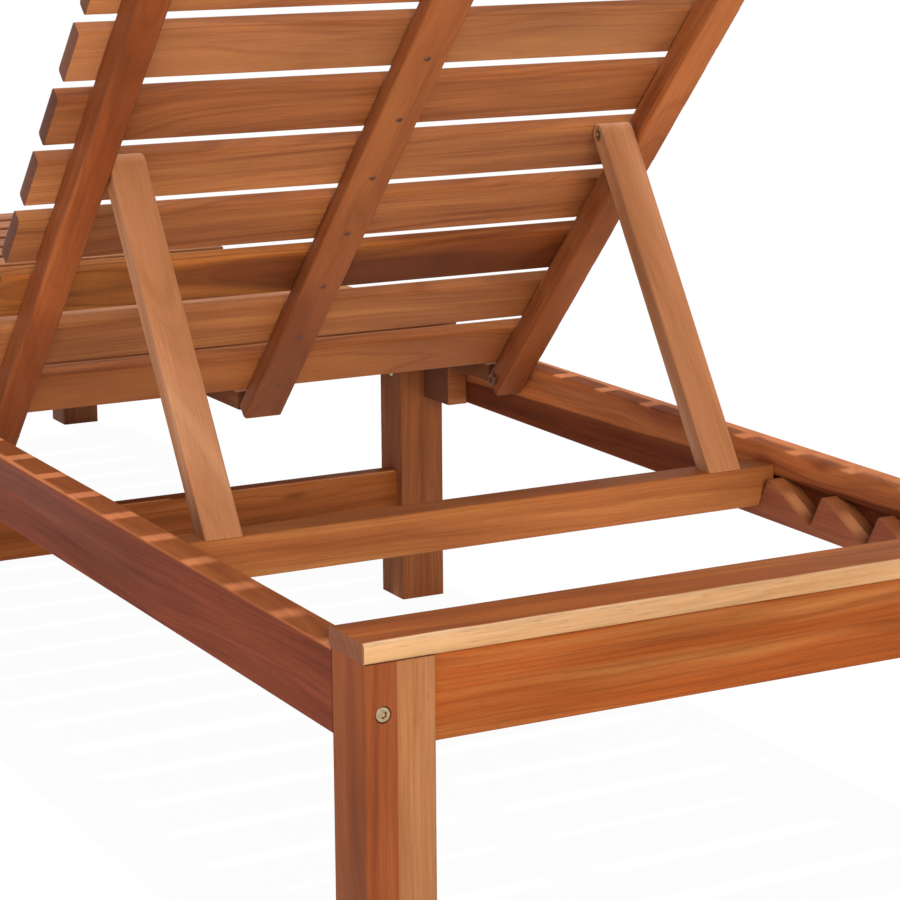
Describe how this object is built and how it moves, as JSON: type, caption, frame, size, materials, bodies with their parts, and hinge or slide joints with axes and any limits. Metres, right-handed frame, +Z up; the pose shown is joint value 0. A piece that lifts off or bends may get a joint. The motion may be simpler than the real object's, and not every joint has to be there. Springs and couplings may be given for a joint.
{
  "type": "slatted wooden sun lounger",
  "caption": "Slatted teak sun lounger with a hinged back held up by a prop whose crossbar sits in notched strips",
  "frame": {"origin": "on the floor under the middle of the lounger", "axes": "+X to the right seen from the head end, +Y towards the foot end, +Z up"},
  "size_m": [0.595, 2, 0.789],
  "materials": {
    "frame_wood": "oiled teak, fine straight grain",
    "slat_wood": "oiled teak, fine straight grain",
    "prop_wood": "oiled teak, lighter honey tone",
    "brass_fittings": "brass-coloured plating, satin"
  },
  "bodies": {
    "frame": {"barrel_nuts": "brass_fittings", "bearer_blocks": "frame_wood", "foot_leg_left": "frame_wood", "foot_leg_right": "frame_wood", "foot_rail": "frame_wood", "head_leg_left": "frame_wood", "head_leg_right": "frame_wood", "head_rail": "frame_wood", "head_slat": "slat_wood", "hinge_bolts": "brass_fittings", "hinge_washers": "brass_fittings", "leg_bolts": "brass_fittings", "mid_leg_left": "frame_wood", "mid_leg_right": "frame_wood", "mid_stretcher": "frame_wood", "rail_left": "frame_wood", "rail_right": "frame_wood", "ratchet_left": "frame_wood", "ratchet_right": "frame_wood", "seat_bearer_left": "frame_wood", "seat_bearer_middle": "frame_wood", "seat_bearer_right": "frame_wood", "seat_slat_01": "slat_wood", "seat_slat_02": "slat_wood", "seat_slat_03": "slat_wood", "seat_slat_04": "slat_wood", "seat_slat_05": "slat_wood", "seat_slat_06": "slat_wood", "seat_slat_07": "slat_wood", "seat_slat_08": "slat_wood", "seat_slat_09": "slat_wood", "seat_slat_10": "slat_wood", "seat_slat_11": "slat_wood", "seat_slat_12": "slat_wood", "seat_slat_13": "slat_wood", "seat_slat_14": "slat_wood", "seat_slat_15": "slat_wood", "seat_slat_16": "slat_wood", "sleeve_nuts": "brass_fittings"},
    "backrest": {"back_slat_01": "slat_wood", "back_slat_02": "slat_wood", "back_slat_03": "slat_wood", "back_slat_04": "slat_wood", "back_slat_05": "slat_wood", "back_slat_06": "slat_wood", "back_slat_07": "slat_wood", "back_slat_08": "slat_wood", "back_slat_09": "slat_wood", "back_slat_10": "slat_wood", "back_stile_left": "frame_wood", "back_stile_middle": "frame_wood", "back_stile_right": "frame_wood", "prop_bolts": "brass_fittings", "prop_nuts": "brass_fittings", "prop_washers": "brass_fittings"},
    "prop": {"prop_crossbar": "prop_wood", "prop_left": "prop_wood", "prop_right": "prop_wood"}
  },
  "joints": [
    {"name": "backrest_hinge", "type": "hinge", "parent": "frame", "child": "backrest", "pos_m": [0, -0.1958, 0.2563], "axis": [-1, 0, 0], "range_deg": [0, 12]},
    {"name": "prop_pivot", "type": "hinge", "parent": "backrest", "child": "prop", "pos_m": [0, -0.43782, 0.51411], "axis": [-1, 0, 0], "range_deg": [-12, 0]}
  ],
  "couplings": [
    {"joint": "prop_pivot", "follows": "backrest_hinge", "ratio": -1}
  ]
}
